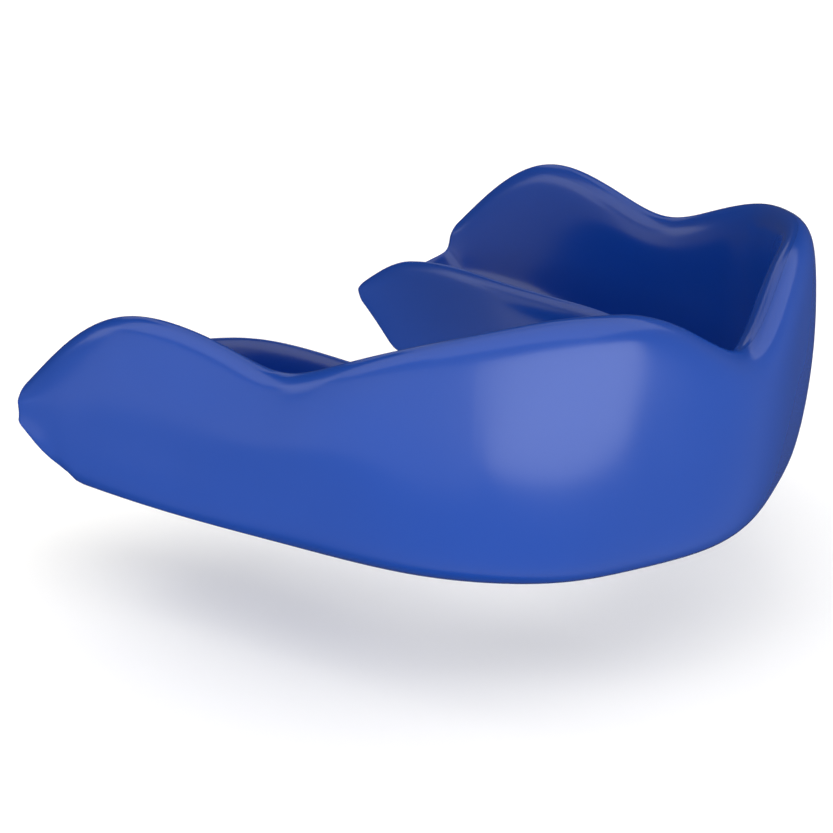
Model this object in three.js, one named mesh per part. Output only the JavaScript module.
// Combat-sports mouthguard for the upper arch, as a bonded two-layer moulding.
//
// Frame: millimetres, +Z up. The midline of the mouth is the plane x = 0, the incisors face -Y,
// the molar ends point to +Y and the wearer's left is +X. z = 0 is the flat bite face, so the guard
// stands on it. The origin is on that face, at the middle of the guard's width and depth.
//
// The guard is lofted along a dental arch. Each cross-section is a U-shaped channel: a tall flange
// on the lip and cheek side, a bite floor, and a low wall on the tongue side. A bond surface from
// the crest of the flange, through the middle of the floor, to the crest of the tongue wall splits
// it into outer_layer and inner_liner. Pockets in that surface hold front_impact_strip, in the
// flange over the front teeth, and bite_pad_left and bite_pad_right, in the floor at the back teeth.
import * as THREE from 'three';

const { clamp, smoothstep } = THREE.MathUtils;

// ---------------------------------------------------------------- driving dimensions (mm)
// Each list holds values at equal steps along half of the arch, from the midline to the molar end.
// Offsets are measured from the arch line, + outwards.
const ARCH_X = [0, 10.339, 18.852, 25.788, 28.717, 30.706, 31.5];
const ARCH_Y = [-25.0, -22.431, -17.964, -8.737, 3.792, 17.222, 30.647];
const RIM_HEIGHT = [
  17.896, 19.258, 21.554, 23.085, 23.542, 23.493, 22.861, 21.874,
  20.476, 18.285, 16.274, 16.915, 17.764, 17.167, 13.823, 8.173,
];
const RIM_OFFSET = [-0.781, -0.791, -0.841, -0.668, 0.808, -0.241, -0.218, -0.162];
const BITE_EDGE_OFFSET = [-3.103, -2.965, -3.317, -2.453, -1.958]; // outer edge of the bite face
const LOW_WALL_OFFSET = [-0.98, -0.446, 0.009, -0.839, -0.294];    // flange face, a third of the way up
const WALL_BULGE = [0.054, 0.541, 0.08];                           // extra fullness at mid height
const FLANGE_THICKNESS = [4.443, 3.612, 3.019, 2.801];
const TONGUE_RIM_HEIGHT = [7.159, 7.638, 8.343, 9.479, 11.977, 12.155, 11.426, 7.802];
const CHANNEL_WIDTH = [3.906, 4.8, 7.713, 11.377, 10.898];         // tooth channel at the floor
const TONGUE_WALL_THICKNESS = [2.681, 1.903];
const TONGUE_WALL_LEAN = [1.024, 0.846, 0.631];
const FLOOR_THICKNESS = [3.392, 3.191];

// Chamfers under the molar ends: distance from the end where they start, rise per mm, and
// half length of the rounded start.
const CHEEK_CHAMFER = { start: 5.245, slope: 0.932, blend: 0.4 };
const TONGUE_CHAMFER = { start: 5.241, slope: 0.721, blend: 0.8 };
const EDGE_FOLLOW = 1.8;      // chamfer height over which its outer edge moves out to the wall
const CHEEK_FLOOR_MIN = 0.7;  // least floor above each chamfer
const TONGUE_FLOOR_MIN = 0.9;
const TONGUE_TIP = { drop: 2.466, length: 7.526 }; // fall of the tongue-side rim at its tip
const END_ROUND = 0.5;        // edge radius of the molar ends
const THIN_END_SHARE = 0.5;   // share of that radius used at the floor and tongue wall
const DEPTH_CENTRE = 3.520;   // y of the middle of the depth, in arch coordinates

const BOND_GAP = 0.10;        // bond line between two pieces
const MAX_BOND_SHIFT = 0.42;  // limit of a bond face's offset, as a share of the wall
const INSERT_EDGE = 0.3;      // edge thickness of the pads and strip
const END_CLEARANCE = 0.012;  // inserts stop short of their pockets, as a share of the half arch

// Pockets for the inserts. from..to are shares of the half arch; first..last are places on the
// section, with inner places between; the blends are the lengths of the thickness's shoulders.
const STRIP = {
  thickness: 1.0, from: -0.33, to: 0.33, alongBlend: 0.08,
  first: 10.8, last: 13.2, acrossBlend: 0.6, inner: [11.4, 12, 12.6],
};
const PAD = {
  thickness: 1.2, from: 0.44, to: 0.90, alongBlend: 0.06,
  first: 14.25, last: 16.75, acrossBlend: 0.7, inner: [14.8, 15.5, 16.2],
};

// ---------------------------------------------------------------- resolution
const HALF_STEPS = 22;             // even loft steps from the midline to the molar end
const MIN_STATION_STEP = 0.009;    // closer stations are merged, as a share of the half arch
const EXTRA_STATIONS = [3.4, 2.0, 1.1]; // mm from the molar end
const END_ROUND_STEPS = 3;
const END_ROUND_ANGLE = Math.PI * 0.46; // stops short of 90 degrees
const LENGTH_STEPS = 200;
const LINER_STEPS = 19;
const OUTER_STEPS = 25;

// ---------------------------------------------------------------- small mathematics
// Cubic spline through values at equal steps on 0..1. The far end is free;
// the start is level, or free as well.
function spline(values, levelStart = true) {
  const count = values.length;
  const step = 1 / (count - 1);
  const curvature = new Array(count).fill(0);
  const factor = new Array(count).fill(0);
  const target = new Array(count).fill(0);
  if (levelStart) {
    factor[0] = 0.5;
    target[0] = 3 * ((values[1] - values[0]) / step) / step;
  }
  for (let i = 1; i < count - 1; i++) {
    const bend = 6 * ((values[i + 1] - 2 * values[i] + values[i - 1]) / (step * step));
    factor[i] = 1 / (4 - factor[i - 1]);
    target[i] = (bend - target[i - 1]) * factor[i];
  }
  for (let i = count - 2; i >= 0; i--) curvature[i] = target[i] - factor[i] * curvature[i + 1];

  function spanAt(t) {
    const i = clamp(Math.floor(t / step), 0, count - 2);
    const [bend, nextBend] = [curvature[i], curvature[i + 1]];
    return {
      start: values[i],
      along: t - i * step,
      slope: (values[i + 1] - values[i]) / step - step * (2 * bend + nextBend) / 6,
      bend,
      bendRate: (nextBend - bend) / step,
    };
  }
  return {
    value(t) {
      const { start, along, slope, bend, bendRate } = spanAt(t);
      return start + along * (slope + along * (bend / 2 + along * bendRate / 6));
    },
    slope(t) {
      const { along, slope, bend, bendRate } = spanAt(t);
      return slope + along * (bend + along * bendRate / 2);
    },
  };
}

const softPositive = (x, blend) => 0.5 * (x + Math.sqrt(x * x + blend * blend));
const softMax = (a, b, blend) => b + softPositive(a - b, blend);
const softMin = (a, b, blend) => b - softPositive(b - a, blend);

// 0 for negative x, x for positive x, rounded between.
function hinge(x, blend) {
  if (x <= -blend) return 0;
  return x >= blend ? x : (x + blend) ** 2 / (4 * blend);
}

// 1 inside from..to, 0 outside, with rounded shoulders inside the range.
const plateau = (x, from, to, blend) =>
  smoothstep((x - from) / blend, 0, 1) * smoothstep((to - x) / blend, 0, 1);

// ---------------------------------------------------------------- curves along the half arch
const archX = spline(ARCH_X, false);
const archY = spline(ARCH_Y);
const rimHeight = spline(RIM_HEIGHT);
const rimOffset = spline(RIM_OFFSET);
const biteEdgeOffset = spline(BITE_EDGE_OFFSET);
const lowWallOffset = spline(LOW_WALL_OFFSET);
const wallBulge = spline(WALL_BULGE);
const flangeThickness = spline(FLANGE_THICKNESS);
const tongueRimHeight = spline(TONGUE_RIM_HEIGHT);
const channelWidth = spline(CHANNEL_WIDTH);
const tongueThickness = spline(TONGUE_WALL_THICKNESS);
const tongueLean = spline(TONGUE_WALL_LEAN);

const lengthAt = [0];
for (let i = 1; i <= LENGTH_STEPS; i++) {
  const from = (i - 1) / LENGTH_STEPS;
  const to = i / LENGTH_STEPS;
  const dx = archX.value(to) - archX.value(from);
  const dy = archY.value(to) - archY.value(from);
  lengthAt.push(lengthAt[i - 1] + Math.hypot(dx, dy));
}
const HALF_LENGTH = lengthAt[LENGTH_STEPS];

function arcLength(t) {
  const position = t * LENGTH_STEPS;
  const i = Math.min(LENGTH_STEPS - 1, Math.floor(position));
  return lengthAt[i] + (position - i) * (lengthAt[i + 1] - lengthAt[i]);
}

// ---------------------------------------------------------------- cross-section
// A place on the section is a parameter of its closed B-spline; it matches the control point index.
const CREST = 9;
const TONGUE_CREST = 20;
const TURN = 26;
const wrap = (place) => ((place % TURN) + TURN) % TURN;

const chamferHeight = ({ start, slope, blend }, toEnd) => slope * hinge(start - toEnd, blend);

// Control points of the closed cubic B-spline in (n, z); n is measured outwards from the arch line.
function controlPolygon(t) {
  const toEnd = HALF_LENGTH - arcLength(t);

  // Heights: undersides, rims and floor tops, then the rises between them.
  const base = chamferHeight(CHEEK_CHAMFER, toEnd);
  const tongueBase = chamferHeight(TONGUE_CHAMFER, toEnd);
  const rim = rimHeight.value(t);
  const tipFall = TONGUE_TIP.drop * Math.max(0, 1 - toEnd / TONGUE_TIP.length) ** 2;
  const tongueRim = tongueRimHeight.value(t) - tipFall;
  const plainFloor = FLOOR_THICKNESS[0] + (FLOOR_THICKNESS[1] - FLOOR_THICKNESS[0]) * t;
  const floor = softMax(plainFloor, base + CHEEK_FLOOR_MIN, 0.4);
  const tongueFloor = softMax(plainFloor, tongueBase + TONGUE_FLOOR_MIN, 0.5);
  const rise = rim - base;
  const innerRise = softMax(rim - floor, 0.6, 0.3);
  const tongueRise = tongueRim - tongueBase;
  const tongueInnerRise = softMax(tongueRim - tongueFloor, 0.35, 0.3);
  const shoulder = softMin(2.8, 0.30 * rise, 0.3);
  const innerShoulder = softMin(2.8, 0.34 * innerRise, 0.3);

  // Offsets, from the cheek side to the tongue side.
  const flange = flangeThickness.value(t);
  const top = rimOffset.value(t);
  const low = lowWallOffset.value(t);
  const middle = 0.5 * (low + top) + wallBulge.value(t);
  const plainEdge = biteEdgeOffset.value(t);
  const edge = plainEdge + (low - plainEdge) * (1 - Math.exp(-((base / EDGE_FOLLOW) ** 2)));
  const channel = channelWidth.value(t);
  const channelOuter = low - 1.12 * flange;
  const channelInner = channelOuter - channel;
  const wall = tongueThickness.value(t);
  const lean = tongueLean.value(t);
  const wallMiddle = channelInner - 0.5 * wall;

  return [
    // 0..2 bite face
    [0.5 * (edge - 2.6 + wallMiddle), 0.5 * (base + tongueBase)],
    [edge - 2.6, base],
    [edge - 0.7, base],
    // 3..8 cheek side of the flange
    [edge + 0.05, base + softMin(0.55, 0.1 * rise, 0.1)],
    [edge + 0.7 * (low - edge) + 0.05, base + softMin(2.0, 0.20 * rise, 0.2)],
    [low, base + 0.36 * rise],
    [middle, base + 0.62 * rise],
    [top, rim - shoulder],
    [top - 0.16 * flange, rim - 0.18 * shoulder],
    // 9 crest of the flange
    [top - 0.5 * flange, rim + 0.13 * shoulder],
    // 10..13 inside of the flange
    [top - 0.84 * flange, rim - 0.18 * shoulder],
    [top - flange, rim - innerShoulder],
    [middle - 1.02 * flange, floor + 0.5 * innerRise],
    [channelOuter + 0.25, floor + 0.2 * innerRise],
    // 14..17 floor
    [channelOuter - 0.2, floor + 0.06 * innerRise],
    [channelOuter - 0.28 * channel, floor],
    [channelInner + 0.28 * channel, tongueFloor],
    [channelInner + 0.2, tongueFloor + 0.08 * tongueInnerRise],
    // 18..19 inside of the tongue wall
    [channelInner - 0.15 - 0.15 * lean, tongueFloor + 0.3 * tongueInnerRise],
    [wallMiddle + 0.42 * wall - 0.8 * lean, tongueRim - 0.26 * tongueInnerRise],
    // 20 crest of the tongue wall
    [wallMiddle - lean, tongueRim + 0.2],
    // 21..25 tongue side, back to the bite face
    [wallMiddle - 0.42 * wall - lean, tongueRim - 0.26 * tongueInnerRise],
    [wallMiddle - 0.5 * wall - 0.35 * lean, 0.5 * (tongueRim + tongueBase)],
    [wallMiddle - 0.5 * wall, tongueBase + 0.17 * tongueRise],
    [wallMiddle - 0.42 * wall + 0.15, tongueBase],
    [wallMiddle + 0.3, tongueBase],
  ];
}

function sectionPoint(polygon, place) {
  const first = Math.floor(place);
  const u = place - first;
  const weights = [
    (1 - u) ** 3 / 6,
    (3 * u ** 3 - 6 * u * u + 4) / 6,
    (-3 * u ** 3 + 3 * u * u + 3 * u + 1) / 6,
    u ** 3 / 6,
  ];
  const point = [0, 0];
  weights.forEach((weight, i) => {
    const control = polygon[wrap(first - 1 + i)];
    point[0] += weight * control[0];
    point[1] += weight * control[1];
  });
  return point;
}

// Point of the section's outline, drawn in by the station's inset.
function skinPoint(station, place) {
  const point = sectionPoint(station.polygon, place);
  if (station.inset > 0) {
    const before = sectionPoint(station.polygon, place - 0.05);
    const after = sectionPoint(station.polygon, place + 0.05);
    const dn = after[0] - before[0];
    const dz = after[1] - before[1];
    const flangeShare = plateau(wrap(place), 2.5, 14, 1.5); // 1 on the flange
    const inset = station.inset * (THIN_END_SHARE + (1 - THIN_END_SHARE) * flangeShare);
    const scale = inset / Math.hypot(dn, dz);
    point[0] -= dz * scale;
    point[1] += dn * scale;
  }
  return point;
}

const outline = (station, from, to, steps) =>
  Array.from({ length: steps + 1 }, (_, i) => skinPoint(station, from + (to - from) * i / steps));

// ---------------------------------------------------------------- bond surface and pockets
// Places on the outside of the channel, through the wall from inside places 9, 10, ... 20.
const FACING = [9, 8, 7, 6, 5, 3.6, 1.6, -0.4, -1.8, -3.6, -5, -6];

function facingPlace(place) {
  const i = Math.floor(place) - CREST;
  return FACING[i] + (place - CREST - i) * (FACING[i + 1] - FACING[i]);
}

function insertThickness(pocket, t, place) {
  const along = plateau(t, pocket.from, pocket.to, pocket.alongBlend);
  const across = plateau(place, pocket.first, pocket.last, pocket.acrossBlend);
  return INSERT_EDGE + (pocket.thickness - INSERT_EDGE) * along * across;
}

const isInPocket = (pocket, t, place) =>
  t >= pocket.from && t <= pocket.to && place >= pocket.first && place <= pocket.last;

// Distance between the two layers: the plain bond line, or an insert with a gap on each side.
function bondOpening(t, place) {
  const pocket = [PAD, STRIP].find((candidate) => isInPocket(candidate, t, place));
  return pocket ? insertThickness(pocket, t, place) + 2 * BOND_GAP : BOND_GAP;
}

// Point offset from the middle of the wall, + towards the tooth channel.
function bondPoint(station, place, offset) {
  const inside = skinPoint(station, place);
  const outside = skinPoint(station, facingPlace(place));
  const dn = inside[0] - outside[0];
  const dz = inside[1] - outside[1];
  const shift = clamp(offset / Math.hypot(dn, dz), -MAX_BOND_SHIFT, MAX_BOND_SHIFT);
  return [
    0.5 * (inside[0] + outside[0]) + dn * shift,
    0.5 * (inside[1] + outside[1]) + dz * shift,
  ];
}

// ---------------------------------------------------------------- stations along the arch
function halfStations() {
  const roundStart = 1 - END_ROUND / HALF_LENGTH;
  const pocketEnds = [PAD.from, PAD.to, STRIP.to];
  const { start, blend } = CHEEK_CHAMFER;
  const marks = [
    ...pocketEnds,
    ...[start + blend, start - blend, ...EXTRA_STATIONS].map((toEnd) => 1 - toEnd / HALF_LENGTH),
  ];
  for (let i = 0; i <= HALF_STEPS; i++) marks.push((i / HALF_STEPS) * roundStart);

  // Where marks crowd together the first one stays, unless a pocket end takes its place.
  const kept = [];
  for (const t of marks.sort((a, b) => a - b)) {
    const crowded = kept.length > 0 && t - kept.at(-1) < MIN_STATION_STEP;
    if (!crowded) kept.push(t);
    else if (pocketEnds.includes(t)) kept[kept.length - 1] = t;
  }

  const stations = kept.map((t) => ({ t, inset: 0 }));
  for (let i = 1; i <= END_ROUND_STEPS; i++) {
    const angle = (i / END_ROUND_STEPS) * END_ROUND_ANGLE;
    stations.push({
      t: roundStart + (1 - roundStart) * Math.sin(angle),
      inset: END_ROUND * (1 - Math.cos(angle)),
    });
  }
  return stations;
}

// Adds the section, the point on the arch line and its outward normal. side is the sign of x.
function completeStation({ t, inset }, side) {
  const dx = archX.slope(t);
  const dy = archY.slope(t);
  const length = Math.hypot(dx, dy);
  return {
    t, inset, side,
    polygon: controlPolygon(t),
    x: archX.value(t),
    y: archY.value(t),
    normalX: dy / length,
    normalY: -dx / length,
  };
}

const HALF = halfStations();
const STATIONS = [
  ...HALF.slice(1).reverse().map((station) => completeStation(station, -1)),
  ...HALF.map((station) => completeStation(station, 1)),
];

const toSpace = (station, [n, z]) => [
  station.side * (station.x + n * station.normalX),
  station.y + n * station.normalY - DEPTH_CENTRE,
  z,
];

// ---------------------------------------------------------------- lofting
function signedVolume(positions, index) {
  const corner = (i) => new THREE.Vector3().fromArray(positions, 3 * index[i]);
  let volume = 0;
  for (let i = 0; i < index.length; i += 3) {
    volume += corner(i).dot(corner(i + 1).cross(corner(i + 2)));
  }
  return volume;
}

// Closed solid through one polygon per station, capped at both ends. Quads from returnFrom on run
// back along the bond line, and are split along the diagonal that matches their neighbour's.
function loft(stations, ringAt, returnFrom) {
  const rings = stations.map(ringAt);
  const count = rings[0].length;
  const positions = rings.flatMap((ring, k) => ring.flatMap((point) => toSpace(stations[k], point)));
  const index = [];
  for (let k = 0; k + 1 < rings.length; k++) {
    for (let i = 0; i < count; i++) {
      const a = k * count + i;
      const b = k * count + (i + 1) % count;
      const c = a + count;
      const d = b + count;
      if (i >= returnFrom && i < count - 1) index.push(a, b, c, b, d, c);
      else index.push(a, b, d, a, d, c);
    }
  }
  for (const k of [0, rings.length - 1]) {
    const points = rings[k].map(([n, z]) => new THREE.Vector2(n, z));
    for (const face of THREE.ShapeUtils.triangulateShape(points, [])) {
      const triangle = face.map((i) => k * count + i);
      index.push(...(k === 0 ? triangle.reverse() : triangle));
    }
  }
  if (signedVolume(positions, index) < 0) {
    for (let i = 0; i < index.length; i += 3) {
      [index[i + 1], index[i + 2]] = [index[i + 2], index[i + 1]];
    }
  }
  const geometry = new THREE.BufferGeometry();
  geometry.setAttribute('position', new THREE.Float32BufferAttribute(positions, 3));
  geometry.setIndex(index);
  geometry.computeVertexNormals();
  return geometry;
}

// ---------------------------------------------------------------- the five pieces
const SPLIT = 0.05;       // half width of the bond line at a crest, in section places
const POCKET_STEP = 0.01; // a pocket's edge steps over this far each way, in section places

const pocketPlaces = ({ first, last, inner }) => [
  first - POCKET_STEP, first + POCKET_STEP, ...inner, last - POCKET_STEP, last + POCKET_STEP,
];
const BOND_PLACES = [
  9.5, 10.2, ...pocketPlaces(STRIP), 13.7, ...pocketPlaces(PAD), 17.5, 18.4, 19.4,
];

// Face of the bond surface; side is +1 on the liner and -1 on the outer layer.
const bondFace = (station, side) => BOND_PLACES.map((place) =>
  bondPoint(station, place, side * bondOpening(station.t, place) / 2));

function outerLayer() {
  return loft(STATIONS, (station) => [
    ...outline(station, TONGUE_CREST + SPLIT, TURN + CREST - SPLIT, OUTER_STEPS),
    ...bondFace(station, -1),
  ], Infinity);
}

function innerLiner() {
  return loft(STATIONS, (station) => [
    ...outline(station, CREST + SPLIT, TONGUE_CREST - SPLIT, LINER_STEPS),
    ...bondFace(station, 1).reverse(),
  ], LINER_STEPS + 1);
}

// Insert that fills a pocket, on the given sides of the midline.
function insert(pocket, sides) {
  const { first, last, inner } = pocket;
  const places = [first + 2 * POCKET_STEP, ...inner, last - 2 * POCKET_STEP];
  const stations = STATIONS.filter(({ t, side }) => sides.includes(side)
    && t >= pocket.from + END_CLEARANCE && t <= pocket.to - END_CLEARANCE);
  const face = (station, side) => places.map((place) =>
    bondPoint(station, place, side * insertThickness(pocket, station.t, place) / 2));
  return loft(stations, (station) => [
    ...face(station, 1),
    ...face(station, -1).reverse(),
  ], places.length);
}

function piece(name, geometry, { color, roughness }) {
  const material = new THREE.MeshStandardMaterial({ color, roughness, metalness: 0 });
  const mesh = new THREE.Mesh(geometry, material);
  mesh.name = name;
  return mesh;
}

const OUTER_BLUE = { color: 0x3258b0, roughness: 0.34 };
const LINER_BLUE = { color: 0x2f54ab, roughness: 0.38 };
const STRIP_BLUE = { color: 0x24449a, roughness: 0.5 };
const PAD_BLUE = { color: 0x2a4da0, roughness: 0.55 };

const mouthguard = new THREE.Group();
mouthguard.add(
  piece('outer_layer', outerLayer(), OUTER_BLUE),
  piece('inner_liner', innerLiner(), LINER_BLUE),
  piece('front_impact_strip', insert(STRIP, [-1, 1]), STRIP_BLUE),
  piece('bite_pad_left', insert(PAD, [1]), PAD_BLUE),
  piece('bite_pad_right', insert(PAD, [-1]), PAD_BLUE),
);

export default mouthguard;
